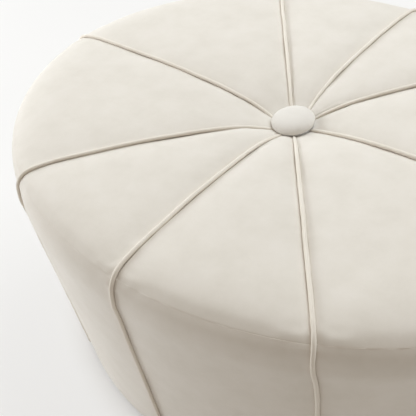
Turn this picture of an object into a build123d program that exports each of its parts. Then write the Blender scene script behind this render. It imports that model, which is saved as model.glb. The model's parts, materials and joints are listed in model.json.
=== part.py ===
from build123d import *
import math
import os

# An oval upholstered ottoman table. Eight padded gores meet at a covered button on top and
# run over a soft shoulder down the wall, with piping on every seam. Inside stands a timber
# drum on four low glides. Millimetres. The origin is on the floor under the middle, X runs
# along the long axis and Z is up. Bearings are degrees from +X, seen from above.

# Overall size of the cover
plan_length = 980.0
plan_width = 795.0
shoulder_height = 432.0
base_inset = 28.7
widest_drop = 44.0

# Seams
diagonal_bearing = 51.8
seam_bearings = [
    0, diagonal_bearing, 90, 180 - diagonal_bearing,
    180, 180 + diagonal_bearing, 270, 360 - diagonal_bearing,
]

# Cover cloth and piping
cloth = 2.0
welt_diameter = 7.5
welt_stand = 1.0
soft_gap = 0.3
wood_gap = 0.2
top_swell = 8.0
wall_swell = 3.0
waist_gap = 0.8
hem_width = 42.0

# Crown of the top along a seam: share of the way out, and rise over the shoulder line
pocket_radius = 23.0
pocket_drop = 24.5
crown_rise = 14.0
crown_reach_shares = [0.16, 0.26, 0.42, 0.56, 0.75]
crown_rise_shares = [-0.04, 0.5, 0.86, 1.0, 0.91]
crown_swell_shares = [0.45, 0.8, 1.0, 1.0, 1.0]

# Shoulder roll along a seam: inset from the widest line, and drop under the shoulder line
rim_insets = [60.0, 42.0, 28.0, 18.0, 11.3]
rim_drops = [-10.6, -8.2, -5.2, -0.9, 4.8]
rim_swell_shares = [0.9, 0.7, 0.45, 0.2, 0.0]
roll_insets = [6.0, 3.0, 1.0]
roll_drops = [12.5, 20.5, 33.0]
roll_swell_shares = [0.7, 0.9, 1.0]

# Share of the full swell across a gore, from seam to seam
gore_way_shares = [0.0, 0.18, 0.5, 0.82, 1.0]
gore_swell_shares = [0.0, 0.78, 1.0, 0.78, 0.0]

# Covered button and its anchor
button_radius = 33.5
button_rise = 6.0
button_edge_radius = 6.0
button_drop = 2.0
button_cloth = 1.2
cap_wall = 1.2
button_skirt = 9.0
back_thickness = 2.0
eye_radius = 5.0
eye_wire = 2.0
twine_diameter = 2.0
twine_spread = 5.0
toggle_radius = 22.0
toggle_thickness = 4.0
toggle_hole_gap = 0.4

# Filling
batting_thickness = 5.0
tuft_slope_share = 0.35
tuft_hole_radius = 12.0
wrap_thickness = 12.0
foam_roll_insets = [36.0, 22.0, 13.0, 8.0]
foam_roll_drops = [4.5, 10.0, 18.0, 29.0]
welt_room = 1.4
batting_room = 0.8
rim_stations_past_batting = 4

# Timber drum
glide_height = 12.0
glide_radius = 20.0
glide_collar_radius = 8.0
glide_bearing = 38.0
glide_chamfer = 1.5
glide_recess = 4.0
dust_cloth = 0.8
dust_cover_inset = 40.0
skirt_thickness = 3.0
base_ring_thickness = 18.0
base_ring_width = 70.0
deck_thickness = 12.0
deck_drop = 76.0
deck_hole_radius = 12.0
post_side = 40.0
rail_thickness = 20.0
rail_depth = 60.0
skirt_joint_gap = 1.0

# Screws and staples
screw_diameter = 4.5
screw_head_diameter = 9.0
screw_head_height = 3.0
screw_sink = 0.5
slot_length_share = 0.7
slot_width = 1.0
slot_depth = 1.0
deck_screw_length = 45.0
base_screw_length = 55.0
glide_screw_length = 22.0
hole_gap = 0.15
staple_crown = 10.0
staple_leg = 7.0
staple_wire = 1.0
staple_count = 16
staple_inset = 92.0

# Helpers for cuts and curves
overrun = 20.0
through = 1200.0
arc_share = 0.45
full_turn = 360

# Levels worked out from the sizes above
widest_height = shoulder_height - widest_drop
hem_bottom = glide_height + dust_cloth + soft_gap
ring_bottom = hem_bottom + cloth + soft_gap
ring_top = ring_bottom + base_ring_thickness
deck_top = shoulder_height - deck_drop
deck_bottom = deck_top - deck_thickness
skin_depth = welt_diameter / 2 - welt_stand + soft_gap
crown_depth = skin_depth + welt_room
skirt_depth = skin_depth + wrap_thickness + soft_gap
frame_depth = skirt_depth + skirt_thickness + wood_gap
ring_middle_inset = base_inset + frame_depth + base_ring_width / 2
hole_play = hole_gap * 2


def oval_reach(bearing, inset=0.0):
    """Distance from the middle to the oval that lies this far inside the widest line."""
    half_x = plan_length / 2 - inset
    half_y = plan_width / 2 - inset
    turn = math.radians(bearing)
    return half_x * half_y / math.hypot(half_y * math.cos(turn), half_x * math.sin(turn))


def oval_spot(bearing, inset):
    """X and Y of the point of an inner oval at a bearing."""
    reach = oval_reach(bearing, inset)
    turn = math.radians(bearing)
    return reach * math.cos(turn), reach * math.sin(turn)


def wall_inset(height):
    """How far the tapered wall stands inside the widest line at a height."""
    below = max(widest_height - height, 0)
    return base_inset * below / (widest_height - hem_bottom)


def top_line(bearing, swell):
    """Outer face of a top gore in the upright plane of a bearing, as (radius, height)."""
    reach = oval_reach(bearing)
    points = [(pocket_radius, shoulder_height - pocket_drop)]
    for way, rise, lift in zip(crown_reach_shares, crown_rise_shares, crown_swell_shares):
        height = shoulder_height + crown_rise * rise + top_swell * swell * lift
        points.append((reach * way, height))
    for inset, drop, lift in zip(rim_insets, rim_drops, rim_swell_shares):
        points.append((reach - inset, shoulder_height - drop + top_swell * swell * lift))
    return points


def roll_line(bearing, swell):
    """Outer face of a side gore from the waist seam down to its widest line."""
    reach = oval_reach(bearing)
    points = [top_line(bearing, swell)[-1]]
    for inset, drop, lift in zip(roll_insets, roll_drops, roll_swell_shares):
        points.append((reach - inset + wall_swell * swell * lift, shoulder_height - drop))
    points.append((reach + wall_swell * swell, widest_height))
    return points


def set_in(points, depth):
    """The same line moved inward along its normals."""
    moved = []
    for index, (radius, height) in enumerate(points):
        before = points[max(index - 1, 0)]
        after = points[min(index + 1, len(points) - 1)]
        run = after[0] - before[0]
        rise = after[1] - before[1]
        span = math.hypot(run, rise)
        moved.append((radius + depth * rise / span, height - depth * run / span))
    return moved


def upright(points, bearing, shift=0.0):
    """Stands (radius, height) points in the plane of a bearing, moved sideways by shift."""
    turn = math.radians(bearing)
    along = (math.cos(turn), math.sin(turn))
    return [
        Vector(radius * along[0] - shift * along[1], radius * along[1] + shift * along[0], height)
        for radius, height in points
    ]


def roll_curve(points, foot):
    """Smooth curve through a roll line that runs on into the straight wall below it."""
    return Spline(*points, tangents=[points[1] - points[0], foot - points[-1]])


def band(outer, inner):
    """Closed wire between two lines that run the same way."""
    return Wire([
        Spline(*outer),
        Line(outer[-1], inner[-1]),
        Spline(*inner[::-1]),
        Line(inner[0], outer[0]),
    ])


def across_gore(start, end):
    """Bearing, sideways shift and swell of each section, clear of the piping at both seams."""
    clear = welt_diameter / 2 + soft_gap
    return [
        (start + (end - start) * way, clear * (1 - 2 * way), swell)
        for way, swell in zip(gore_way_shares, gore_swell_shares)
    ]


def top_gore(start, end):
    """Cloth panel of the top between two seams, swelling up between them."""
    sections = []
    for bearing, shift, swell in across_gore(start, end):
        outer = top_line(bearing, swell)
        inner = set_in(outer, cloth)
        sections.append(band(upright(outer, bearing, shift), upright(inner, bearing, shift)))
    return Solid.make_loft(sections)


def side_gore(start, end):
    """Cloth panel of the wall, with its hem turned under the bottom edge."""
    sections = []
    for bearing, shift, swell in across_gore(start, end):
        foot = oval_reach(bearing) - base_inset
        outer = roll_line(bearing, swell)
        outer[0] = (outer[0][0], outer[0][1] - waist_gap)
        inner = set_in(outer + [(foot, hem_bottom)], cloth)[:-1]
        corner = [(foot, hem_bottom), (foot - cloth, hem_bottom + cloth)]
        hem = [(foot - hem_width, hem_bottom), (foot - hem_width, hem_bottom + cloth)]
        outer, inner, corner, hem = [
            upright(line, bearing, shift) for line in (outer, inner, corner, hem)
        ]
        back = roll_curve(inner, corner[1])
        sections.append(Wire([
            roll_curve(outer, corner[0]),
            Line(outer[-1], corner[0]),
            Line(corner[0], hem[0]),
            Line(hem[0], hem[1]),
            Line(hem[1], corner[1]),
            Line(corner[1], inner[-1]),
            back,
            Line(inner[0], outer[0]),
        ]))
    return Solid.make_loft(sections)


def corner_radii(points):
    """Arc radius for each corner of a route, as large as its two runs allow."""
    radii = []
    for before, here, after in zip(points, points[1:], points[2:]):
        turn = (here - before).get_angle(after - here)
        reach = min((here - before).length, (after - here).length)
        radii.append(arc_share * reach / math.tan(math.radians(turn / 2)))
    return radii


def welt(bearing):
    """Piping along one seam, from under the button to the bottom edge."""
    foot = (oval_reach(bearing) - base_inset, hem_bottom)
    seam = top_line(bearing, 0.0) + roll_line(bearing, 0.0)[1:] + [foot]
    seam = set_in(seam, -welt_stand)
    seam[-1] = (seam[-1][0], hem_bottom)
    points = upright(seam, bearing)
    path = FilletPolyline(*points, radius=corner_radii(points))
    plane = Plane(origin=path @ 0, z_dir=path % 0)
    return sweep(plane * Circle(welt_diameter / 2), path=path)


def oval_face(inset):
    """Flat oval that lies this far inside the widest line."""
    return Ellipse(plan_length / 2 - inset, plan_width / 2 - inset)


def tapered_oval(low, high, depth):
    """Solid oval drum at a depth inside the wall, following its taper."""
    bottom = Pos(0, 0, low) * oval_face(wall_inset(low) + depth)
    top = Pos(0, 0, high) * oval_face(wall_inset(high) + depth)
    return loft([bottom, top], ruled=True)


def ring_of_sections(section):
    """Solid swept round the middle through the sections of one quarter, then mirrored."""
    bearings = [0, diagonal_bearing / 2, diagonal_bearing, (diagonal_bearing + 90) / 2, 90]
    quarter = Solid.make_loft([section(bearing) for bearing in bearings])
    half = quarter.fuse(quarter.mirror(Plane.YZ))
    return half.fuse(half.mirror(Plane.XZ))


def crown_line(bearing, depth):
    """Crown of a filling layer this far under the seam line, from the tuft hole outward."""
    outer = set_in(top_line(bearing, 0.0), depth)
    hole_edge = outer[0][1] - (outer[0][0] - tuft_hole_radius) * tuft_slope_share
    return [(tuft_hole_radius, hole_edge)] + outer[:-rim_stations_past_batting]


def batting_section(bearing):
    """Cross section of the batting over the foam."""
    outer = upright(crown_line(bearing, crown_depth), bearing)
    inner = upright(crown_line(bearing, crown_depth + batting_thickness), bearing)
    return band(outer, inner)


def foam_section(bearing):
    """Cross section of the crowned seat foam."""
    reach = oval_reach(bearing)
    crown = crown_line(bearing, crown_depth + batting_thickness + batting_room)
    roll = [
        (reach - inset, shoulder_height - drop)
        for inset, drop in zip(foam_roll_insets, foam_roll_drops)
    ]
    roll.append((reach - skin_depth - soft_gap, widest_height))
    floor = deck_top + soft_gap
    foot = [(reach - wall_inset(floor) - skin_depth, floor), (tuft_hole_radius, floor)]
    crown, roll, foot = [upright(line, bearing) for line in (crown, roll, foot)]
    return Wire([
        Spline(*crown),
        Spline(crown[-1], *roll),
        Line(roll[-1], foot[0]),
        Line(foot[0], foot[1]),
        Line(foot[1], crown[0]),
    ])


def screw(length):
    """Countersunk wood screw, head upward at the origin and pointing down."""
    shank = screw_diameter / 2
    head = screw_head_diameter / 2
    outline = Polyline(
        (0, 0), (head, 0), (shank, -screw_head_height), (shank, shank - length), (0, -length),
        close=True,
    )
    body = revolve(Plane.XZ * make_face(outline), Axis.Z)
    slot = Box(
        screw_head_diameter * slot_length_share, slot_width, slot_depth,
        align=(Align.CENTER, Align.CENTER, Align.MAX),
    )
    return body - slot


def screw_hole(length):
    """Room for a screw, open above the head."""
    shank = screw_diameter / 2 + hole_gap
    head = screw_head_diameter / 2 + hole_gap
    outline = Polyline(
        (0, overrun), (head, overrun), (head, 0), (shank, -screw_head_height),
        (shank, shank - length - hole_play), (0, -length - hole_play), close=True,
    )
    return revolve(Plane.XZ * make_face(outline), Axis.Z)


def turned_over(shape):
    """The same shape pointing up."""
    return Rot(180, 0, 0) * shape


def staple():
    """Wire staple, crown on the floor side and legs up."""
    upward = (Align.CENTER, Align.CENTER, Align.MIN)
    crown = Box(staple_crown, staple_wire, staple_wire, align=upward)
    leg = Box(staple_wire, staple_wire, staple_leg, align=upward)
    side = (staple_crown - staple_wire) / 2
    return crown + Pos(side, 0, 0) * leg + Pos(-side, 0, 0) * leg


def staple_room():
    """Slots for the two legs of a staple."""
    wide = staple_wire + hole_play
    leg = Box(wide, wide, staple_leg + overrun)
    side = (staple_crown - staple_wire) / 2
    return Pos(side, 0, 0) * leg + Pos(-side, 0, 0) * leg


post_places = [Pos(*oval_spot(bearing, ring_middle_inset), 0) for bearing in seam_bearings]
glide_bearings = [
    glide_bearing, 180 - glide_bearing, 180 + glide_bearing, full_turn - glide_bearing,
]
glide_places = [Pos(*oval_spot(bearing, ring_middle_inset), 0) for bearing in glide_bearings]
staple_places = [
    Pos(*oval_spot(full_turn * (index + 0.5) / staple_count, staple_inset), 0)
    * Rot(0, 0, full_turn * (index + 0.5) / staple_count + 90)
    for index in range(staple_count)
]
parts = {}


def save(name, shape):
    """Keeps a piece under the name of its node."""
    parts[name] = shape


def make_cover():
    """Gores and piping."""
    ends = seam_bearings[1:] + [full_turn]
    for number, (start, end) in enumerate(zip(seam_bearings, ends), 1):
        save(f"top_gore_{number}", top_gore(start, end))
        save(f"side_gore_{number}", side_gore(start, end))
        save(f"welt_{number}", welt(start))


def dome_height(radius, rim_radius, rise):
    """Height of a spherical dome over its rim, at a distance from its axis."""
    ball = (rim_radius ** 2 + rise ** 2) / (2 * rise)
    return math.sqrt(ball ** 2 - radius ** 2) - (ball - rise)


def dome_profile(inward, rim_height, foot):
    """Half of the button's section, this far inside its outer face, filled down to a height."""
    radius = button_radius - inward
    rise = button_rise - inward
    top = (0, rim_height + rise)
    rim = (radius, rim_height)
    middle = (radius / 2, rim_height + dome_height(radius / 2, radius, rise))
    half = make_face([ThreePointArc(top, middle, rim), Polyline(rim, (radius, foot), (0, foot), top)])
    corner = half.vertices().sort_by_distance(rim)[0]
    return fillet(corner, button_edge_radius - inward)


def dome_cap(inward, wall, rim_height):
    """Thin domed cap with a rounded edge and a straight skirt, open below."""
    foot = rim_height - button_skirt
    outer = dome_profile(inward, rim_height, foot)
    inner = dome_profile(inward + wall, rim_height, foot - overrun)
    return revolve(Plane.XZ * (outer - inner), Axis.Z)


def make_button():
    """Covered button with its eye, the twine through the seat and the toggle below the deck."""
    rim_height = shoulder_height - button_drop
    shell_inward = button_cloth + soft_gap
    save("button_cover", dome_cap(0, button_cloth, rim_height))
    save("button_shell", dome_cap(shell_inward, cap_wall, rim_height))
    back_radius = button_radius - shell_inward - cap_wall - wood_gap
    back_height = rim_height - button_skirt + back_thickness / 2
    back = Pos(0, 0, back_height) * Cylinder(back_radius, back_thickness)
    eye_height = back_height - back_thickness / 2 - eye_radius
    eye = Pos(0, 0, eye_height) * Rot(90, 0, 0) * Torus(eye_radius, eye_wire / 2)
    save("button_back", back + eye)
    top_turn = eye_height - eye_radius
    low_turn = deck_bottom - toggle_thickness
    half = twine_spread / 2
    loop = Wire([
        Line((0, half, low_turn), (0, half, top_turn)),
        ThreePointArc((0, half, top_turn), (0, 0, top_turn + half), (0, -half, top_turn)),
        Line((0, -half, top_turn), (0, -half, low_turn)),
        ThreePointArc((0, -half, low_turn), (0, 0, low_turn - half), (0, half, low_turn)),
    ])
    strand = Plane(origin=(0, half, low_turn), z_dir=(0, 0, 1)) * Circle(twine_diameter / 2)
    save("tufting_twine", Solid.sweep(strand.face(), loop))
    toggle = Pos(0, 0, low_turn) * Cylinder(
        toggle_radius, toggle_thickness, align=(Align.CENTER, Align.CENTER, Align.MIN))
    room = Cylinder(twine_diameter / 2 + toggle_hole_gap, through)
    save("twine_toggle", toggle - Pos(0, half, 0) * room - Pos(0, -half, 0) * room)


def make_filling():
    """Batting, seat foam and the foam wrap of the wall."""
    save("seat_batting", ring_of_sections(batting_section))
    save("seat_foam", ring_of_sections(foam_section))
    wrap = tapered_oval(ring_bottom, deck_top, skin_depth)
    hollow_depth = skin_depth + wrap_thickness
    wrap -= tapered_oval(ring_bottom - overrun, deck_top + overrun, hollow_depth)
    save("side_foam", wrap)


def make_frame():
    """Deck, posts, rails, base ring and the bent skirt panels."""
    deck = tapered_oval(deck_bottom, deck_top, frame_depth - skirt_thickness)
    deck -= Cylinder(deck_hole_radius, through)
    ring = tapered_oval(ring_bottom, ring_top, frame_depth)
    ring -= extrude(oval_face(base_inset + frame_depth + base_ring_width), through)
    post_height = deck_bottom - ring_top
    deck_screw_head = deck_top - screw_sink
    base_screw_head = ring_bottom + screw_sink
    deck_screws = []
    base_screws = []
    for number, place in enumerate(post_places, 1):
        post = place * Pos(0, 0, ring_top) * Box(
            post_side, post_side, post_height, align=(Align.CENTER, Align.CENTER, Align.MIN))
        down = place * Pos(0, 0, deck_screw_head)
        up = place * Pos(0, 0, base_screw_head)
        deck_screws.append(down * screw(deck_screw_length))
        base_screws.append(up * turned_over(screw(base_screw_length)))
        deck -= down * screw_hole(deck_screw_length)
        ring -= up * turned_over(screw_hole(base_screw_length))
        post -= down * screw_hole(deck_screw_length)
        post -= up * turned_over(screw_hole(base_screw_length))
        save(f"post_{number}", post)
    glide_screws = []
    for number, place in enumerate(glide_places, 1):
        puck = Cylinder(glide_radius, glide_height, align=(Align.CENTER, Align.CENTER, Align.MIN))
        puck = chamfer(puck.edges().group_by(Axis.Z)[0], glide_chamfer)
        collar = Cylinder(
            glide_collar_radius, ring_bottom, align=(Align.CENTER, Align.CENTER, Align.MIN))
        up = Pos(0, 0, glide_recess + screw_sink)
        glide = puck + collar - up * turned_over(screw_hole(glide_screw_length))
        save(f"glide_{number}", place * glide)
        glide_screws.append(place * up * turned_over(screw(glide_screw_length)))
        ring -= place * up * turned_over(screw_hole(glide_screw_length))
    dust_cover = Pos(0, 0, glide_height) * extrude(oval_face(dust_cover_inset), dust_cloth)
    for place in glide_places:
        dust_cover -= place * Cylinder(glide_collar_radius + soft_gap, through)
    staples = []
    for place in staple_places:
        at = place * Pos(0, 0, glide_height - staple_wire)
        staples.append(at * staple())
        ring -= at * staple_room()
        dust_cover -= at * staple_room()
    save("deck_board", deck)
    save("base_ring", ring)
    save("dust_cover", dust_cover)
    save("deck_screws", Compound(deck_screws))
    save("base_screws", Compound(base_screws))
    save("glide_screws", Compound(glide_screws))
    save("dust_cover_staples", Compound(staples))


def make_rails():
    """Four rails under the deck, flush with the inner faces of the diagonal posts."""
    post_x, post_y = oval_spot(diagonal_bearing, ring_middle_inset)
    level = deck_bottom - rail_depth / 2
    long_rail = Box(post_x * 2 - post_side, rail_thickness, rail_depth)
    short_rail = Box(rail_thickness, post_y * 2 - post_side, rail_depth)
    inward = (post_side - rail_thickness) / 2
    save("rail_front", Pos(0, inward - post_y, level) * long_rail)
    save("rail_back", Pos(0, post_y - inward, level) * long_rail)
    save("rail_left", Pos(inward - post_x, 0, level) * short_rail)
    save("rail_right", Pos(post_x - inward, 0, level) * short_rail)


def make_skirt():
    """Hardboard bent round the drum in four panels that butt at the axes."""
    skirt = tapered_oval(ring_bottom, deck_bottom, skirt_depth)
    hollow_depth = skirt_depth + skirt_thickness
    skirt -= tapered_oval(ring_bottom - overrun, deck_bottom + overrun, hollow_depth)
    shift = (through + skirt_joint_gap) / 2
    for number, (side_x, side_y) in enumerate([(1, 1), (-1, 1), (-1, -1), (1, -1)], 1):
        quarter = Pos(side_x * shift, side_y * shift, 0) * Box(through, through, through)
        save(f"skirt_panel_{number}", skirt & quarter)


make_cover()
make_button()
make_filling()
make_frame()
make_rails()
make_skirt()

os.makedirs("parts", exist_ok=True)
for name, shape in parts.items():
    export_step(shape, f"parts/{name}.step")
    print(name, len(shape.solids()), round(sum(solid.volume for solid in shape.solids())))
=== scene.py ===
import json
import math

import bpy
import numpy as np
from mathutils import Matrix, Vector
from mathutils.bvhtree import BVHTree

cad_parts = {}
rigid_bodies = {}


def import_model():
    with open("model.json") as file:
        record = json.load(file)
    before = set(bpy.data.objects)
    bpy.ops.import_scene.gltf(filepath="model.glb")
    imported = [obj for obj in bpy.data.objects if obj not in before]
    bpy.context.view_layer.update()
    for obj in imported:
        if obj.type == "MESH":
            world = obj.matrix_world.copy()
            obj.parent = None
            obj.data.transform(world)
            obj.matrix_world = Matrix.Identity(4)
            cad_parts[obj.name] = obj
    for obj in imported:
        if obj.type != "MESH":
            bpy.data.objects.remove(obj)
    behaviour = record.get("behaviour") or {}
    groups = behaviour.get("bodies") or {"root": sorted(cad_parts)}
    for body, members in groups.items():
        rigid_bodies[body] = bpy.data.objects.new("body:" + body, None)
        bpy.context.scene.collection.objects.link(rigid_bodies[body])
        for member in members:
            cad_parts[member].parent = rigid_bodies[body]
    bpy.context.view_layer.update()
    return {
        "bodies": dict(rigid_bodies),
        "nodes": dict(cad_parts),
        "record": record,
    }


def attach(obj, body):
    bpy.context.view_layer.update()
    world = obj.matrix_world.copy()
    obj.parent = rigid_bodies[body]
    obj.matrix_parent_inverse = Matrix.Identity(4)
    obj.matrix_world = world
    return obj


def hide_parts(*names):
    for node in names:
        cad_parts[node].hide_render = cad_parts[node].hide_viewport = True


# An oval upholstered ottoman in pale ivory velvet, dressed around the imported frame. Metres.
# Bearings are degrees from +X, seen from above, as in the frame. A way runs from 0 to 1.

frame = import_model()
body = list(frame["bodies"])[0]

# Sizes shared with the frame
half_length = 0.490
half_width = 0.3975
shoulder_height = 0.432
base_inset = 0.0287
widest_drop = 0.044
hem_bottom = 0.0131
hem_width = 0.036
cloth = 0.002
soft_gap = 0.0003
diagonal_bearing = 51.8
seam_bearings = [
    0, diagonal_bearing, 90, 180 - diagonal_bearing,
    180, 180 + diagonal_bearing, 270, 360 - diagonal_bearing,
]

# Crown of the top along a seam, from the button pocket to the waist seam
pocket_radius = 0.023
pocket_drop = 0.0156
crown_rise = 0.014
crown_reach_shares = [0.16, 0.26, 0.42, 0.56, 0.75]
crown_rise_shares = [-0.04, 0.5, 0.86, 1.0, 0.91]
rim_insets = [0.060, 0.042, 0.028, 0.018, 0.0113]
rim_drops = [-0.0106, -0.0082, -0.0052, -0.0009, 0.0048]

# How much of the swell each of those places takes, and how it fills out across a gore
top_swell = 0.008
top_swell_shares = [0.35, 0.78, 0.92, 1.0, 1.0, 1.0, 0.9, 0.7, 0.45, 0.2, 0.0]
swell_power = 3.2

# Wall below the waist seam
wall_swell = 0.003
roll_insets = [0.006, 0.003, 0.001, 0.0]
roll_drops = [0.0125, 0.0205, 0.033, widest_drop]
wall_way_shares = [0.06, 0.2, 0.45, 0.75, 0.985]
wall_swell_shares = [0.0, 0.7, 0.9, 1.0, 1.0, 1.0, 0.85, 0.6, 0.3, 0.0]
hem_turn = 0.004
hem_turn_shares = [0.35, 0.7, 1.0]

# Wander of the seams: a jog at the waist, a lean down the wall as (height it starts at, most),
# and a drift at the pocket
waist_jogs = {seam_bearings[5]: 0.0008, seam_bearings[6]: 0.0006, seam_bearings[7]: -0.0028}
jog_height = 0.400
jog_reach = 0.026
wall_leans = {seam_bearings[5]: (0.428, -0.006), seam_bearings[7]: (0.385, 0.0055)}
lean_power = 4
pocket_drifts = {
    seam_bearings[0]: 0.0038, seam_bearings[1]: 0.0015, seam_bearings[2]: -0.0045,
    seam_bearings[4]: 0.003, seam_bearings[5]: 0.003,
}
drift_reach = 0.06
jog_start = half_width / 2
panel_follow_power = 4

# Piping, pulled thinner and sunk a little close to the button
welt_radius = 0.0031
welt_stand = 0.0007
welt_sink = 0.0016
welt_sink_reach = 0.045
welt_thin_share = 0.27
welt_thin_reach = 0.085
welt_wander = 0.0002
welt_wander_waves = (0.05, 0.16)
welt_lump_share = 0.035
welt_lump_waves = (0.012, 0.05)
welt_top_rings = 170
welt_wall_rings = 120
welt_sides = 20
welt_seed = 20

# Painted shade on the flanks of the piping, in its cloth colour, by the cosine of the angle from its
# crest
flank_shade_start = 0.55
flank_shade_range = 0.6
flank_shade_most = 0.75

# Covered button, leaning by an angle about an axis that points along a bearing
button_radius = 0.0335
button_rise = 0.006
button_belly = 0.0055
button_roundness = 2.7
button_rim_height = 0.430
button_skirt = 0.010
button_edge_insets = [0.0006, 0.0018, 0.0040]
button_edge_lifts = [0.0012, 0.0, 0.0004]
button_rings = 40
button_sides = 96
button_lean = 4.5
button_lean_bearing = -54.33
gather_height = 0.00028
gather_waves = (0.010, 0.024)
gather_count = 9
gather_power = 6
button_seed = 5

# Sewing: the tuck at a seam, the soft valley beside it, small ripples and the broad unevenness
panel_clear_share = 0.74
panel_clear = welt_radius * panel_clear_share
tuck_depth = 0.0011
tuck_length = 0.0014
valley_depth = 0.0009
valley_length = 0.012
valley_play_share = 0.35
valley_waves = (0.05, 0.16)
ripple_depth = 0.00016
ripple_length = 0.010
ripple_start = 0.002
ripple_waves = (0.011, 0.030)
broad_depth = 0.00035
broad_start = 0.03
broad_slant = 0.6
broad_waves = (0.10, 0.30)
# Reach of the painted shade from a seam into the cloth colour
crease_shade_length = 0.0026
pocket_ease = 0.6
wall_ease = 0.8
ease_reach = 0.06
panel_seed = 11

# Waist seam: hardly seen at first from a panel's start side; a thin painted shade line along it is
# faint on most panels and clear on two
waist_depth = 0.00032
waist_length = 0.0009
waist_line_shade = 0.7
waist_line_shade_length = 0.0011
faint_waist_shade = 0.2
clear_waist_shades = {7: 0.75, 8: 1.1}
waist_hidden_share = 0.12
waist_shade_hidden_shares = {8: -0.2}
waist_fade = 0.25
waist_least_share = 0.05
waist_mean_share = 0.75
waist_play_share = 0.35
waist_play_ends = (0.3, 1.2)
waist_waves = (0.08, 0.22)
pucker_depth = 0.00012
pucker_corner_depth = 0.00035
pucker_corner_reach = 0.035
pucker_length = 0.012
pucker_waves = (0.012, 0.040)

# Cloth under the pipings, kept clear of the padding
seam_slit = 0.0001
padding_nodes = ["seat_batting", "seat_foam", "side_foam"]
padding_search = 0.006
padding_clear = 0.0005
sewn_columns = 12

# Cloth simulation of the panels
cloth_frames = 20
cloth_quality = 6
cloth_mass = 0.25
cloth_stiffness = 12
cloth_shear_stiffness = 6
cloth_bending_stiffness = 0.6
cloth_pressure = 4.0
puff_most = 0.003
puff_least = -0.001
quick_puff_share = 0.8
start_swell_share = 0.75

# Points of a panel: evenly spaced for the simulation, then finer, crowded at its edges
coarse_columns = 41
coarse_rows = {"top": 49, "side": 33}
fine_columns = 76
fine_column_growth = 1.13
fine_rows = {"top": 96, "side": 70}
fine_row_growths = {"top": 1.1, "side": 1.12}

# Camera, from the lines of the photograph
camera_place = (0.5196, -0.7240, 1.0840)
camera_right = (0.763957, 0.637779, -0.098022)
camera_down = (0.382353, -0.569797, -0.727419)
camera_lens = 62.05
camera_sensor = 36
camera_far = 60

# Velvet: colours from its darkest to its lightest patches, mottling, nap and sheen.
# A noise is its scale, detail and roughness, and a bump its strength and depth.
ivory_colours = [(0.755, 0.730, 0.68), (0.785, 0.760, 0.713), (0.81, 0.786, 0.745)]
# Piping and button: lighter copies of the cover velvet, painted light on the raised cord and on the
# dome
lit_piping_colours = [(0.82, 0.785, 0.715), (0.845, 0.81, 0.745), (0.865, 0.835, 0.775)]
lit_button_colours = [(0.78, 0.765, 0.735), (0.8, 0.785, 0.755), (0.82, 0.805, 0.775)]
# Painted shade: how strongly, and in what warm dark colour, the cloth darkens where a mesh marks
# shade
crease_shade_strength = 0.28
crease_shade_colour = (0.70, 0.58, 0.49)
mottle_noise = (22.0, 5.0, 0.62)
mottle_stops = [0.3, 0.5, 0.72]
nap_noise = (1500.0, 2.0, 0.6)
nap_bump = (0.25, 0.0006)
brush_noise = (60.0, 3.0, 0.5)
brush_bump = (0.12, 0.002)
velvet_roughness = 0.92
velvet_specular = 0.2
velvet_sheen = 0.42
velvet_sheen_roughness = 0.45
velvet_sheen_tint = (0.98, 0.99, 1.0)

# Speckled finishes: darker and lighter colour, scale, roughness and how metallic
speckled_finishes = {
    "button_metal": ((0.55, 0.55, 0.56), (0.66, 0.66, 0.67), 300, 0.35, 1.0),
    "twine": ((0.62, 0.55, 0.42), (0.8, 0.74, 0.6), 1200, 0.8, 0.0),
    "toggle": ((0.03, 0.03, 0.03), (0.05, 0.05, 0.05), 700, 0.5, 0.0),
    "batting": ((0.82, 0.82, 0.8), (0.92, 0.92, 0.9), 260, 1.0, 0.0),
    "foam": ((0.78, 0.72, 0.5), (0.88, 0.83, 0.62), 500, 0.95, 0.0),
    "hardboard": ((0.13, 0.07, 0.035), (0.2, 0.115, 0.06), 900, 0.7, 0.0),
    "glide": ((0.012, 0.012, 0.012), (0.024, 0.024, 0.024), 900, 0.45, 0.0),
    "dust_cloth": ((0.01, 0.01, 0.01), (0.03, 0.03, 0.03), 1400, 0.95, 0.0),
    "screw_steel": ((0.5, 0.48, 0.42), (0.66, 0.64, 0.58), 800, 0.4, 1.0),
}
speckle_detail = (4.0, 0.6)
speckle_stops = [0.35, 0.65]
speckle_bump = (0.2, 0.0005)

# Timber finishes: darker and lighter colour and scale across the grain
timber_finishes = {
    "plywood": ((0.48, 0.33, 0.19), (0.66, 0.5, 0.32), 60),
    "softwood": ((0.55, 0.4, 0.24), (0.74, 0.59, 0.39), 90),
}
grain_length_share = 0.06
grain_detail = 6.0
grain_stops = [0.3, 0.7]
grain_bump = (0.15, 0.0005)
timber_roughness = 0.7

# Room
floor_reach = 14.0
floor_colours = [(0.88, 0.88, 0.88), (0.9, 0.9, 0.9)]
floor_stops = [0.3, 0.7]
floor_noise_scale = 3.0
floor_glow_colour = (0.905, 0.905, 0.90)
floor_glow_share = 0.70
# Painted contact shadow: how far from the ottoman ambient occlusion fades the floor's glow
contact_shadow_reach = 0.05
fill_colour = (1.0, 0.835, 0.67)
fill_strength = 0.33
backdrop_colour = (0.965, 0.965, 0.965)
lamp_target = (0, 0, 0.35)
key_lamp = {"place": (0.5, 2.2, 3.5), "size": 3.4, "power": 131, "colour": (0.925, 0.98, 1.0)}
left_lamp = {"place": (-2.8, -0.9, 1.0), "size": 2.4, "power": 80, "colour": (0.95, 0.985, 1.0)}


def oval_reach(bearing):
    """Distance from the middle to the widest line of the cover at a bearing."""
    turn = math.radians(bearing)
    return half_length * half_width / math.hypot(
        half_width * math.cos(turn), half_length * math.sin(turn))


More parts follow.
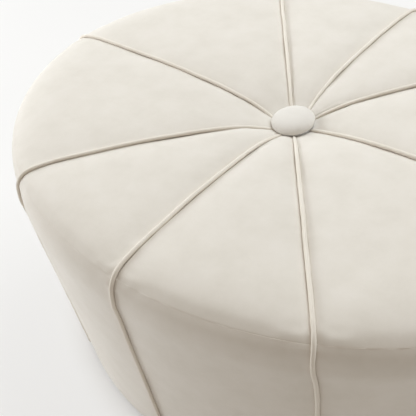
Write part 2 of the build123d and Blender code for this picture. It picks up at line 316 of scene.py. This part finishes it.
def top_line(bearing, swell):
    """Stations of a top gore in the upright plane of a bearing, as (radius, height)."""
    reach = oval_reach(bearing)
    points = [(pocket_radius, -pocket_drop)]
    points += [
        (reach * way, crown_rise * rise)
        for way, rise in zip(crown_reach_shares, crown_rise_shares)
    ]
    points += [(reach - inset, -drop) for inset, drop in zip(rim_insets, rim_drops)]
    return np.array([
        (radius, shoulder_height + height + top_swell * swell * share)
        for (radius, height), share in zip(points, top_swell_shares)
    ])


def wall_line(bearing, swell):
    """Stations of a side gore from the waist seam to just above its bottom edge."""
    reach = oval_reach(bearing)
    points = [(reach - rim_insets[-1], shoulder_height - rim_drops[-1])]
    points += [
        (reach - inset, shoulder_height - drop) for inset, drop in zip(roll_insets, roll_drops)
    ]
    top = shoulder_height - widest_drop
    points += [
        (reach - base_inset * way, top + (hem_bottom - top) * way) for way in wall_way_shares
    ]
    return np.array([
        (radius + wall_swell * swell * share, height)
        for (radius, height), share in zip(points, wall_swell_shares)
    ])


def smooth_curve(points, ways):
    """Points at the given shares of the way along a natural cubic spline."""
    steps = np.hypot(*np.diff(points, axis=0).T)
    knots = np.concatenate([[0.0], np.cumsum(steps)])
    count = len(points)
    matrix = np.eye(count)
    sides = np.zeros((count, points.shape[1]))
    for index in range(1, count - 1):
        before, after = steps[index - 1], steps[index]
        matrix[index, index - 1:index + 2] = before, 2 * (before + after), after
        sides[index] = 6 * (
            (points[index + 1] - points[index]) / after
            - (points[index] - points[index - 1]) / before)
    bend = np.linalg.solve(matrix, sides)
    at = np.asarray(ways) * knots[-1]
    piece = np.clip(np.searchsorted(knots, at, side="right") - 1, 0, count - 2)
    step = steps[piece][:, None]
    left = (knots[piece + 1] - at)[:, None]
    right = (at - knots[piece])[:, None]
    return (
        bend[piece] * left ** 3 / (6 * step) + bend[piece + 1] * right ** 3 / (6 * step)
        + (points[piece] / step - bend[piece] * step / 6) * left
        + (points[piece + 1] / step - bend[piece + 1] * step / 6) * right
    )


def swell_at(way):
    """Share of the full swell at a share of the way across a gore."""
    return 1 - abs(2 * way - 1) ** swell_power


def new_mesh(name, points, faces, smooth=True):
    """Mesh object from a list of points and faces."""
    mesh = bpy.data.meshes.new(name)
    mesh.from_pydata([tuple(point) for point in points], [], faces)
    mesh.update()
    for polygon in mesh.polygons:
        polygon.use_smooth = smooth
    piece = bpy.data.objects.new(name, mesh)
    bpy.context.collection.objects.link(piece)
    return piece


def grid_faces(rows, columns, closed=False):
    """Quads of a grid of points stored row by row; closed joins the last column to the first."""
    faces = []
    for row in range(rows - 1):
        for column in range(columns if closed else columns - 1):
            after = (column + 1) % columns
            faces.append((
                row * columns + column, row * columns + after,
                (row + 1) * columns + after, (row + 1) * columns + column,
            ))
    return faces


def fade(distance, length):
    """Share that falls off from 1 with distance."""
    return np.exp(-(distance / length))


def bell(distance, reach):
    """Share that falls off from 1 to both sides, slowly at first."""
    return np.exp(-((distance / reach) ** 2))


def random_wave(chooser, shortest, longest, count=6):
    """Smooth random curve of unit size, made of sines between two wavelengths."""
    lengths = chooser.uniform(shortest, longest, count)
    phases = chooser.uniform(0, 2 * math.pi, count)

    def height(along):
        along = np.asarray(along)[..., None]
        return np.sin(2 * np.pi * along / lengths + phases).sum(axis=-1) / math.sqrt(count)

    return height


def welt_size(radius):
    """Share of the piping's full thickness: pulled thinner close to the button."""
    return 1 - welt_thin_share * bell(radius, welt_thin_reach)


def seam_shift(bearing, line):
    """Sideways wander of a seam near the button, at the waist and down the wall."""
    radius, height = line.T
    jog = waist_jogs.get(bearing, 0.0) * bell(height - jog_height, jog_reach)
    start, most = wall_leans.get(bearing, (half_width, 0.0))
    below = np.clip((start - height) / start, 0, 1)
    lean = most * (1 - (1 - below) ** lean_power)
    drift = pocket_drifts.get(bearing, 0.0) * bell(radius, drift_reach)
    return (jog + lean) * (radius > jog_start) + drift


# Panels of the cover

def panel_grid(start, end, line_of, across, along, share=1.0):
    """Outer face of a gore as an array of rows from the inner or upper end, by columns."""
    columns = []
    for way in across:
        bearing = start + (end - start) * way
        line = smooth_curve(line_of(bearing, swell_at(way) * share), along)
        turn = math.radians(bearing)
        wander = seam_shift(start, line) * (1 - way) ** panel_follow_power
        wander = wander + seam_shift(end % 360, line) * way ** panel_follow_power
        shift = panel_clear * welt_size(line[:, 0]) * (1 - 2 * way) + wander
        columns.append(np.stack([
            line[:, 0] * math.cos(turn) - shift * math.sin(turn),
            line[:, 0] * math.sin(turn) + shift * math.cos(turn),
            line[:, 1],
        ], axis=1))
    return np.stack(columns, axis=1)


def grid_normals(grid):
    """Unit normals of a grid of points, away from the middle of the ottoman."""
    down = np.gradient(grid, axis=0)
    over = np.gradient(grid, axis=1)
    normals = np.cross(down, over)
    normals /= np.linalg.norm(normals, axis=2, keepdims=True)
    centre = grid[grid.shape[0] // 2, grid.shape[1] // 2]
    outward = normals[grid.shape[0] // 2, grid.shape[1] // 2]
    if outward @ (centre - np.array([0, 0, shoulder_height / 2])) < 0:
        normals = -normals
    return normals


def edge_distance(grid, side):
    """Distance of every point from one edge of the grid, measured along its row or column."""
    axis = 1 if side in ("start", "end") else 0
    steps = np.linalg.norm(np.diff(grid, axis=axis), axis=2)
    first = np.zeros_like(steps.take([0], axis=axis))
    total = np.concatenate([first, np.cumsum(steps, axis=axis)], axis=axis)
    if side in ("start", "top"):
        return total
    return total.take([-1], axis=axis) - total


def crowded_ways(count, growth):
    """Shares from 0 to 1 with steps that grow from both ends towards the middle."""
    steps = growth ** np.minimum(np.arange(count), np.arange(count)[::-1])
    ways = np.concatenate([[0.0], np.cumsum(steps)])
    return ways / ways[-1]


def sewn_sheet(grids):
    """One mesh of all the panels, with their borders in a group, and each panel's first point."""
    points = []
    faces = []
    pinned = []
    starts = []
    for grid in grids:
        rows, columns = grid.shape[:2]
        first = len(points)
        starts.append(first)
        points.extend(grid.reshape(-1, 3).tolist())
        side = np.cross(grid[1, 0] - grid[0, 0], grid[0, 1] - grid[0, 0])
        outward = side @ grid_normals(grid)[0, 0] > 0
        for face in grid_faces(rows, columns):
            corners = [first + corner for corner in face]
            faces.append(corners if outward else corners[::-1])
        border = np.ones((rows, columns), dtype=bool)
        border[1:-1, 1:-1] = False
        pinned += (first + np.flatnonzero(border)).tolist()
    piece = new_mesh("cloth_start", points, faces)
    piece.vertex_groups.new(name="sewn").add(pinned, 1.0, "REPLACE")
    return piece, starts


def set_cloth(piece):
    """Makes a mesh light cloth under gentle pressure, held along its sewn borders."""
    modifier = piece.modifiers.new("cloth", "CLOTH")
    settings = modifier.settings
    settings.quality = cloth_quality
    settings.mass = cloth_mass
    settings.tension_stiffness = cloth_stiffness
    settings.compression_stiffness = cloth_stiffness
    settings.shear_stiffness = cloth_shear_stiffness
    settings.bending_stiffness = cloth_bending_stiffness
    settings.use_pressure = True
    settings.uniform_pressure_force = cloth_pressure
    settings.vertex_group_mass = "sewn"
    settings.effector_weights.gravity = 0
    modifier.collision_settings.use_collision = False


def simulate_panels(grids):
    """Inflates all the panels at once as cloth sewn down at its borders; heights over the start."""
    piece, starts = sewn_sheet(grids)
    set_cloth(piece)
    scene = bpy.context.scene
    for frame_number in range(1, cloth_frames + 1):
        scene.frame_set(frame_number)
    settled = piece.evaluated_get(bpy.context.evaluated_depsgraph_get()).to_mesh()
    placed = np.empty(len(settled.vertices) * 3)
    settled.vertices.foreach_get("co", placed)
    placed = placed.reshape(-1, 3)
    scene.frame_set(1)
    bpy.data.objects.remove(piece, do_unlink=True)
    lifts = []
    for grid, first in zip(grids, starts):
        rows, columns = grid.shape[:2]
        moved = placed[first:first + rows * columns].reshape(rows, columns, 3) - grid
        lifts.append((moved * grid_normals(grid)).sum(axis=2))
    return lifts


def puff_field(lift):
    """Cloth lift kept within its cap, easing off near it."""
    lift = np.where(lift > 0, puff_most * np.tanh(lift / puff_most), lift)
    return np.maximum(lift, puff_least)


def spread(values, rows, columns):
    """Coarse grid of values read at finer row and column shares."""
    row_ways = np.linspace(0, 1, values.shape[0])
    column_ways = np.linspace(0, 1, values.shape[1])
    across = np.array([smooth_values(column_ways, row, columns) for row in values])
    return np.array([smooth_values(row_ways, column, rows) for column in across.T]).T


def smooth_values(ways, values, wanted):
    """Values at the wanted ways, along a smooth curve through evenly spaced ones."""
    count = len(ways)
    step = ways[1] - ways[0]
    matrix = np.eye(count)
    sides = np.zeros(count)
    for index in range(1, count - 1):
        matrix[index, index - 1:index + 2] = 1, 4, 1
        bow = values[index + 1] - 2 * values[index] + values[index - 1]
        sides[index] = 6 * bow / step ** 2
    bend = np.linalg.solve(matrix, sides)
    piece = np.clip((np.asarray(wanted) / step).astype(int), 0, count - 2)
    left = (ways[piece + 1] - wanted) / step
    right = 1 - left
    square = step ** 2 / 6
    return (
        left * values[piece] + right * values[piece + 1]
        + square * ((left ** 3 - left) * bend[piece] + (right ** 3 - right) * bend[piece + 1])
    )


def waist_share(grid, hidden):
    """How clearly the waist seam shows across a panel: hardly up to a share, then fully."""
    along = edge_distance(grid, "start")
    return np.clip((along / along[:, -1:] - hidden) / waist_fade, waist_least_share, 1)


def easing(grid, waist):
    """Share of the tucks that is left: seams lie flatter on the wall and close to the button."""
    if waist == "top":
        return np.full(grid.shape[:2], wall_ease)
    return 1 - pocket_ease * bell(edge_distance(grid, "top"), ease_reach)


def sewn_depth(grid, chooser, waist):
    """Depth of the tucks, valleys and small puckers at the sewn edges of a panel."""
    depth = np.zeros(grid.shape[:2])
    ease = easing(grid, waist)
    down = edge_distance(grid, "top")
    for side in ("start", "end"):
        away = edge_distance(grid, side)
        ripple = random_wave(chooser, *ripple_waves)(down)
        slow = random_wave(chooser, *valley_waves)(down)
        depth += tuck_depth * ease * fade(away, tuck_length)
        depth += valley_depth * ease * (1 + valley_play_share * slow) * fade(away, valley_length)
        depth += ripple_depth * ripple * fade(away, ripple_length) * (1 - fade(away, ripple_start))
    away = edge_distance(grid, waist)
    along = edge_distance(grid, "start")
    corner = fade(np.minimum(along, along[:, -1:] - along), pucker_corner_reach)
    ripple = random_wave(chooser, *pucker_waves)(along)
    slow = random_wave(chooser, *waist_waves)(along)
    play = np.clip(waist_mean_share + waist_play_share * slow, *waist_play_ends)
    shown = waist_share(grid, waist_hidden_share) * play
    depth += waist_depth * shown * fade(away, waist_length)
    depth += (pucker_depth + pucker_corner_depth * corner) * ripple * fade(away, pucker_length)
    broad = random_wave(chooser, *broad_waves)(down + broad_slant * along)
    depth += broad_depth * broad * (1 - fade(away, broad_start))
    return depth


def lay_panel(start, end, line_of, lift, across, along, chooser, waist):
    """Fine grid of a panel: the start shape, lifted by the simulation, sewn down at its edges."""
    grid = panel_grid(start, end, line_of, across, along, start_swell_share)
    normals = grid_normals(grid)
    grid = grid + normals * spread(puff_field(lift), along, across)[..., None]
    return grid - normals * sewn_depth(grid, chooser, waist)[..., None]


def turn_hem(grid):
    """Adds the hem that rounds the bottom edge and runs in under the drum."""
    inward = -np.concatenate([grid[-1][:, :2], np.zeros((grid.shape[1], 1))], axis=1)
    inward /= np.linalg.norm(inward, axis=1, keepdims=True)
    fall = np.zeros_like(inward)
    fall[:, 2] = hem_bottom - grid[-1][:, 2]
    rows = []
    for share in hem_turn_shares:
        angle = share * math.pi / 2
        rows.append(grid[-1] + inward * hem_turn * (1 - math.cos(angle)) + fall * math.sin(angle))
    rows.append(rows[-1] + inward * hem_width / 2)
    rows.append(rows[-2] + inward * hem_width)
    return np.concatenate([grid, np.stack(rows)], axis=0)


def padding_tree():
    """The outer faces of the padding, for measuring how far the cloth lies above them."""
    points = []
    faces = []
    for name in padding_nodes:
        piece = frame["nodes"][name]
        first = len(points)
        points += [piece.matrix_world @ vertex.co for vertex in piece.data.vertices]
        faces += [[first + index for index in face.vertices] for face in piece.data.polygons]
    return BVHTree.FromPolygons(points, faces)


padding = padding_tree()


def clear_padding(grid):
    """Lifts the sewn edges of a panel where they would sink into the padding."""
    normals = grid_normals(grid)
    rows, columns = grid.shape[:2]
    sewn = list(range(sewn_columns)) + list(range(columns - sewn_columns, columns))
    lifted = grid.copy()
    for row in range(rows):
        for column in sewn:
            inward = Vector(-normals[row, column])
            start = Vector(grid[row, column]) - inward * padding_search
            away = padding.ray_cast(start, inward, padding_search + padding_clear)[3]
            if away is not None:
                lifted[row, column] += normals[row, column] * (padding_search + padding_clear - away)
    return lifted


def seam_allowance(grid, start, end):
    """Adds a strip at both sides of a panel that runs on under the pipings, nearly to the seam."""
    strips = []
    for edge, bearing, slit in ((grid[:, 0], start, seam_slit), (grid[:, -1], end, -seam_slit)):
        turn = math.radians(bearing)
        over = np.array([-math.sin(turn), math.cos(turn), 0])
        line = np.stack([np.hypot(edge[:, 0], edge[:, 1]), edge[:, 2]], axis=1)
        reach = seam_shift(bearing % 360, line) + slit - edge @ over
        strips.append((edge + reach[:, None] * over)[:, None])
    return np.concatenate([strips[0], grid, strips[1]], axis=1)


def finish_panel(name, grid, ends, node, waist, waist_shade_clearness, hidden):
    """Turns the outer face into a closed panel of cloth thickness in place of its CAD node."""
    # Painted shade: the cloth colour darkens close to both seams and along the waist seam
    away = np.minimum(edge_distance(grid, "start"), edge_distance(grid, "end"))
    # A thin painted shade line along the waist seam
    line = fade(edge_distance(grid, waist), waist_line_shade_length)
    line = line * waist_line_shade * waist_shade_clearness * waist_share(grid, hidden)
    shades = np.maximum(easing(grid, waist) * fade(away, crease_shade_length), line)
    grid = clear_padding(seam_allowance(grid, *ends))
    rows, columns = grid.shape[:2]
    piece = new_mesh(name, grid.reshape(-1, 3), grid_faces(rows, columns))
    mark_crease_shade(piece, np.pad(shades, ((0, 0), (1, 1)), mode="edge").ravel())
    check_outward(piece)
    thick = piece.modifiers.new("thickness", "SOLIDIFY")
    thick.thickness = cloth
    thick.offset = -1
    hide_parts(node)
    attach(piece, body)
    paint(piece, velvet_cloth)


def mark_crease_shade(piece, shades):
    """Stores the painted shade that every point takes in its cloth colour."""
    marks = piece.data.attributes.new("crease", "FLOAT", "POINT")
    marks.data.foreach_set("value", np.asarray(shades, dtype=float))


def check_outward(piece):
    """Turns the faces over if they look inward."""
    middle = Vector((0, 0, shoulder_height / 2))
    total = sum((face.center - middle).dot(face.normal) * face.area for face in piece.data.polygons)
    if total < 0:
        piece.data.flip_normals()


def start_lifts(grids, across):
    """How far the cloth of each panel rises over its start, as simulated."""
    return simulate_panels(grids)
    swell = puff_most * quick_puff_share * swell_at(across)
    return [swell * np.ones(grid.shape[:2]) for grid in grids]


def make_panels():
    """All sixteen panels of the cover."""
    ends = seam_bearings[1:] + [360]
    lines = {"top": top_line, "side": wall_line}
    waists = {"top": "bottom", "side": "top"}
    jobs = [
        (kind, number, start, end)
        for kind in ("top", "side")
        for number, (start, end) in enumerate(zip(seam_bearings, ends), 1)
    ]
    coarse_across = np.linspace(0, 1, coarse_columns)
    coarse_along = {kind: np.linspace(0, 1, count) for kind, count in coarse_rows.items()}
    grids = [
        panel_grid(start, end, lines[kind], coarse_across, coarse_along[kind], start_swell_share)
        for kind, number, start, end in jobs
    ]
    lifts = start_lifts(grids, coarse_across)
    across = crowded_ways(fine_columns, fine_column_growth)
    along = {kind: crowded_ways(count, fine_row_growths[kind]) for kind, count in fine_rows.items()}
    chooser = np.random.default_rng(panel_seed)
    for (kind, number, start, end), lift in zip(jobs, lifts):
        waist = waists[kind]
        grid = lay_panel(start, end, lines[kind], lift, across, along[kind], chooser, waist)
        if kind == "side":
            grid = turn_hem(grid)
        waist_shade_clearness = clear_waist_shades.get(number, faint_waist_shade)
        hidden = waist_shade_hidden_shares.get(number, waist_hidden_share)
        name = f"{kind}_panel_{number}"
        finish_panel(name, grid, (start, end), f"{kind}_gore_{number}", waist, waist_shade_clearness, hidden)


# Piping

def welt_line(bearing):
    """Seam in its upright plane, from under the button to just above the bottom edge."""
    top = smooth_curve(top_line(bearing, 0.0), np.linspace(0, 1, welt_top_rings))
    wall = smooth_curve(wall_line(bearing, 0.0), np.linspace(0, 1, welt_wall_rings))[1:]
    line = np.concatenate([top, wall])
    step = line[-1] - line[-2]
    foot = line[-1] + step / np.linalg.norm(step) * (line[-1][1] - hem_bottom - soft_gap)
    return np.concatenate([line, [foot]])


def flank_shade(angle):
    """Painted shade of the piping at an angle from its crest: none on top, most where it meets the
    cloth.
    """
    share = (flank_shade_start - math.cos(angle)) / flank_shade_range
    return min(max(share, 0), 1) * flank_shade_most


def make_welt(number, bearing, chooser):
    """Piping tube along one seam, from under the button to the bottom edge."""
    line = welt_line(bearing)
    tangent = np.gradient(line, axis=0)
    tangent /= np.linalg.norm(tangent, axis=1, keepdims=True)
    normal = np.stack([-tangent[:, 1], tangent[:, 0]], axis=1)
    travel = np.concatenate([[0.0], np.cumsum(np.hypot(*np.diff(line, axis=0).T))])
    wander = welt_wander * random_wave(chooser, *welt_wander_waves)(travel)
    shifts = wander + seam_shift(bearing, line)
    lumps = 1 + welt_lump_share * random_wave(chooser, *welt_lump_waves)(travel)
    sizes = welt_size(line[:, 0]) * lumps
    stands = welt_stand - welt_sink * bell(line[:, 0], welt_sink_reach)
    turn = math.radians(bearing)
    along = np.array([math.cos(turn), math.sin(turn), 0])
    side = np.array([-math.sin(turn), math.cos(turn), 0])
    up = np.array([0, 0, 1])
    angles = [2 * math.pi * index / welt_sides for index in range(welt_sides)]
    points = []
    for place, out, shift, size, stand in zip(line, normal, shifts, sizes, stands):
        away = along * out[0] + up * out[1]
        centre = along * place[0] + up * place[1] + away * stand + side * shift
        reach = welt_radius * size
        for angle in angles:
            points.append(centre + reach * (away * math.cos(angle) + side * math.sin(angle)))
    faces = grid_faces(len(line), welt_sides, closed=True)
    faces.append(tuple(range(welt_sides)))
    last = (len(line) - 1) * welt_sides
    faces.append(tuple(reversed(range(last, last + welt_sides))))
    piece = new_mesh(f"piping_{number}", points, faces)
    # Painted shade on the piping's flanks, in its cloth colour
    mark_crease_shade(piece, [flank_shade(angle) for angle in angles] * len(line))
    check_outward(piece)
    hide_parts(f"welt_{number}")
    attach(piece, body)
    paint(piece, lit_piping_cloth)


# Button

def button_outline():
    """Outline of the button from beside its crest to its turned-in edge, as (radius, height)."""
    line = []
    for way in np.linspace(0, 1, button_rings)[1:]:
        share = math.sin(way * math.pi / 2)
        fall = math.sqrt(max(1 - share ** button_roundness, 0))
        line.append((button_radius * share, (button_rise + button_belly) * fall - button_belly))
    for inset, lift in zip(button_edge_insets, button_edge_lifts):
        line.append((button_radius - inset, lift - button_skirt))
    return line


def button_place():
    """Place of the button: its rim at its height, leaning about one side of the rim."""
    turn = math.radians(button_lean_bearing)
    axis = Vector((math.cos(turn), math.sin(turn), 0))
    hinge = Matrix.Translation(Vector((axis.y, -axis.x, 0)) * button_radius)
    lean = Matrix.Rotation(math.radians(button_lean), 4, axis)
    return Matrix.Translation((0, 0, button_rim_height)) @ hinge @ lean @ hinge.inverted()


def make_button():
    """Cloth over the domed cap, with faint gathers round its edge and a slight lean."""
    gather = random_wave(np.random.default_rng(button_seed), *gather_waves, gather_count)
    line = button_outline()
    points = [(0, 0, button_rise)]
    for radius, height in line:
        for index in range(button_sides):
            angle = 2 * math.pi * index / button_sides
            share = (radius / button_radius) ** gather_power
            crease = gather_height * gather(angle * button_radius) * share
            reach = radius + crease
            points.append((reach * math.cos(angle), reach * math.sin(angle), height + crease))
    faces = [(0, 1 + index, 1 + (index + 1) % button_sides) for index in range(button_sides)]
    for face in grid_faces(len(line), button_sides, closed=True):
        faces.append(tuple(corner + 1 for corner in reversed(face)))
    last = 1 + (len(line) - 1) * button_sides
    faces.append(tuple(reversed(range(last, last + button_sides))))
    place = button_place()
    piece = new_mesh("button_cloth_cover", [place @ Vector(point) for point in points], faces)
    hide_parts("button_cover")
    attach(piece, body)
    paint(piece, button_cloth)


# Materials

def node_material(name):
    """New material with its node tree and main shader."""
    material = bpy.data.materials.new(name)
    material.use_nodes = True
    shader = material.node_tree.nodes["Principled BSDF"]
    return material, material.node_tree, shader


def noise(tree, scale, detail=2.0, roughness=0.5):
    """Noise texture in the frame's own coordinates."""
    coordinates = tree.nodes.new("ShaderNodeTexCoord")
    texture = tree.nodes.new("ShaderNodeTexNoise")
    texture.inputs["Scale"].default_value = scale
    texture.inputs["Detail"].default_value = detail
    texture.inputs["Roughness"].default_value = roughness
    tree.links.new(coordinates.outputs["Object"], texture.inputs["Vector"])
    return texture.outputs["Fac"]


def ramp(tree, value, stops):
    """Colour ramp with (place, colour) stops."""
    node = tree.nodes.new("ShaderNodeValToRGB")
    while len(node.color_ramp.elements) > len(stops):
        node.color_ramp.elements.remove(node.color_ramp.elements[-1])
    while len(node.color_ramp.elements) < len(stops):
        node.color_ramp.elements.new(0.5)
    for element, (place, colour) in zip(node.color_ramp.elements, stops):
        element.position = place
        element.color = (*colour, 1)
    tree.links.new(value, node.inputs["Fac"])
    return node.outputs["Color"]


def multiplied(tree, value, factor):
    """Product of a value and a number or another value."""
    node = tree.nodes.new("ShaderNodeMath")
    node.operation = "MULTIPLY"
    tree.links.new(value, node.inputs[0])
    if isinstance(factor, float):
        node.inputs[1].default_value = factor
    else:
        tree.links.new(factor, node.inputs[1])
    return node.outputs[0]


def bump(tree, height, strength, distance, before=None):
    """Bump node, chained after another where one is given."""
    node = tree.nodes.new("ShaderNodeBump")
    node.inputs["Strength"].default_value = strength
    node.inputs["Distance"].default_value = distance
    tree.links.new(height, node.inputs["Height"])
    if before is not None:
        tree.links.new(before, node.inputs["Normal"])
    return node.outputs["Normal"]


def crease_shaded(tree, colour):
    """Colour with painted shade: warmer and darker where a mesh marks shade."""
    crease = tree.nodes.new("ShaderNodeAttribute")
    crease.attribute_name = "crease"
    mix = tree.nodes.new("ShaderNodeMix")
    mix.data_type = "RGBA"
    mix.blend_type = "MULTIPLY"
    mix.inputs["B"].default_value = (*crease_shade_colour, 1)
    amount = multiplied(tree, crease.outputs["Fac"], crease_shade_strength)
    tree.links.new(amount, mix.inputs["Factor"])
    tree.links.new(colour, mix.inputs["A"])
    return mix.outputs["Result"]


def velvet(name, colours):
    """Short-napped velvet: soft mottling, painted shade where a mesh marks it, fine nap and a faint
    sheen.
    """
    material, tree, shader = node_material(name)
    surface = ramp(tree, noise(tree, *mottle_noise), list(zip(mottle_stops, colours)))
    # Painted shade darkens the base colour where the mesh marks it
    tree.links.new(crease_shaded(tree, surface), shader.inputs["Base Color"])
    nap = bump(tree, noise(tree, *nap_noise), *nap_bump)
    brushed = bump(tree, noise(tree, *brush_noise), *brush_bump, nap)
    tree.links.new(brushed, shader.inputs["Normal"])
    shader.inputs["Roughness"].default_value = velvet_roughness
    shader.inputs["Specular IOR Level"].default_value = velvet_specular
    shader.inputs["Sheen Weight"].default_value = velvet_sheen
    shader.inputs["Sheen Roughness"].default_value = velvet_sheen_roughness
    shader.inputs["Sheen Tint"].default_value = (*velvet_sheen_tint, 1)
    return material


def speckled(name, dark, light, scale, roughness, metallic):
    """Plain surface with fine variation, for plastics, metal, foam and thread."""
    material, tree, shader = node_material(name)
    value = noise(tree, scale, *speckle_detail)
    colour = ramp(tree, value, list(zip(speckle_stops, (dark, light))))
    tree.links.new(colour, shader.inputs["Base Color"])
    tree.links.new(bump(tree, value, *speckle_bump), shader.inputs["Normal"])
    shader.inputs["Roughness"].default_value = roughness
    shader.inputs["Metallic"].default_value = metallic
    return material


def timber(name, dark, light, scale):
    """Wood with its grain drawn out along the height."""
    material, tree, shader = node_material(name)
    coordinates = tree.nodes.new("ShaderNodeTexCoord")
    stretch = tree.nodes.new("ShaderNodeMapping")
    stretch.inputs["Scale"].default_value = (scale, scale, scale * grain_length_share)
    grain = tree.nodes.new("ShaderNodeTexNoise")
    grain.inputs["Scale"].default_value = 1.0
    grain.inputs["Detail"].default_value = grain_detail
    tree.links.new(coordinates.outputs["Object"], stretch.inputs["Vector"])
    tree.links.new(stretch.outputs["Vector"], grain.inputs["Vector"])
    colour = ramp(tree, grain.outputs["Fac"], list(zip(grain_stops, (dark, light))))
    tree.links.new(colour, shader.inputs["Base Color"])
    tree.links.new(bump(tree, grain.outputs["Fac"], *grain_bump), shader.inputs["Normal"])
    shader.inputs["Roughness"].default_value = timber_roughness
    return material


def paint(piece, material):
    """Gives a piece one material."""
    piece.data.materials.clear()
    piece.data.materials.append(material)


def paint_frame():
    """Finishes every CAD node, also those that other pieces stand for."""
    slots = {row["node"]: row["material_slot"] for row in frame["record"]["subparts"]}
    finishes = {"cover_cloth": velvet_cloth, "piping": lit_piping_cloth, "button_cloth": button_cloth}
    for name, look in speckled_finishes.items():
        finishes[name] = speckled(name, *look)
    for name, look in timber_finishes.items():
        finishes[name] = timber(name, *look)
    for name, piece in frame["nodes"].items():
        paint(piece, finishes[slots[name]])


# Room

def make_floor():
    """Plain pale floor that shows near white and keeps the soft shadow; near the ottoman ambient
    occlusion fades the glow, a painted contact shadow over the real one.
    """
    corners = [(-1, -1), (1, -1), (1, 1), (-1, 1)]
    points = [(floor_reach * x, floor_reach * y, 0) for x, y in corners]
    floor = new_mesh("floor", points, [(0, 1, 2, 3)])
    material, tree, shader = node_material("floor")
    colour = ramp(tree, noise(tree, floor_noise_scale), list(zip(floor_stops, floor_colours)))
    tree.links.new(colour, shader.inputs["Base Color"])
    shader.inputs["Roughness"].default_value = 1.0
    shader.inputs["Specular IOR Level"].default_value = 0.0
    glow = tree.nodes.new("ShaderNodeEmission")
    glow.inputs["Color"].default_value = (*floor_glow_colour, 1)
    path = tree.nodes.new("ShaderNodeLightPath")
    # Painted contact shadow: ambient occlusion cuts the glow near the ottoman
    contact_shadow = tree.nodes.new("ShaderNodeAmbientOcclusion")
    contact_shadow.inputs["Distance"].default_value = contact_shadow_reach
    seen = multiplied(tree, path.outputs["Is Camera Ray"], floor_glow_share)
    mix = tree.nodes.new("ShaderNodeMixShader")
    tree.links.new(multiplied(tree, seen, contact_shadow.outputs["AO"]), mix.inputs["Fac"])
    tree.links.new(shader.outputs["BSDF"], mix.inputs[1])
    tree.links.new(glow.outputs["Emission"], mix.inputs[2])
    tree.links.new(mix.outputs["Shader"], tree.nodes["Material Output"].inputs["Surface"])
    paint(floor, material)


def make_world():
    """Dim warm surroundings that show white to the camera."""
    world = bpy.data.worlds.new("room")
    bpy.context.scene.world = world
    world.use_nodes = True
    tree = world.node_tree
    light = tree.nodes["Background"]
    light.inputs["Color"].default_value = (*fill_colour, 1)
    light.inputs["Strength"].default_value = fill_strength
    shown = tree.nodes.new("ShaderNodeBackground")
    shown.inputs["Color"].default_value = (*backdrop_colour, 1)
    path = tree.nodes.new("ShaderNodeLightPath")
    mix = tree.nodes.new("ShaderNodeMixShader")
    tree.links.new(path.outputs["Is Camera Ray"], mix.inputs["Fac"])
    tree.links.new(light.outputs["Background"], mix.inputs[1])
    tree.links.new(shown.outputs["Background"], mix.inputs[2])
    tree.links.new(mix.outputs["Shader"], tree.nodes["World Output"].inputs["Surface"])


def make_lamp(name, place, size, power, colour):
    """Square soft lamp that points at the middle of the ottoman."""
    data = bpy.data.lights.new(name, "AREA")
    data.shape = "SQUARE"
    data.size = size
    data.energy = power
    data.color = colour
    lamp = bpy.data.objects.new(name, data)
    bpy.context.collection.objects.link(lamp)
    lamp.location = place
    facing = Vector(lamp_target) - Vector(place)
    lamp.rotation_euler = facing.to_track_quat("-Z", "Y").to_euler()


def make_camera():
    """Camera where the photograph was taken from."""
    data = bpy.data.cameras.new("camera")
    data.sensor_fit = "HORIZONTAL"
    data.sensor_width = camera_sensor
    data.lens = camera_lens
    data.clip_end = camera_far
    camera = bpy.data.objects.new("camera", data)
    bpy.context.collection.objects.link(camera)
    right = Vector(camera_right).normalized()
    up = -Vector(camera_down).normalized()
    back = right.cross(up)
    axes = Matrix((right, up, back)).transposed().to_4x4()
    camera.matrix_world = Matrix.Translation(camera_place) @ axes
    bpy.context.scene.camera = camera


velvet_cloth = velvet("ivory_velvet", ivory_colours)
# Lighter copies of the cover velvet for the piping and the button: painted light
lit_piping_cloth = velvet("lit_piping_velvet", lit_piping_colours)
button_cloth = velvet("lit_button_velvet", lit_button_colours)

make_camera()
make_world()
make_lamp("key", **key_lamp)
make_lamp("left", **left_lamp)
make_floor()
paint_frame()
make_panels()
make_button()
for number, bearing in enumerate(seam_bearings, 1):
    make_welt(number, bearing, np.random.default_rng(welt_seed + number))

bpy.context.scene.view_settings.view_transform = "Standard"
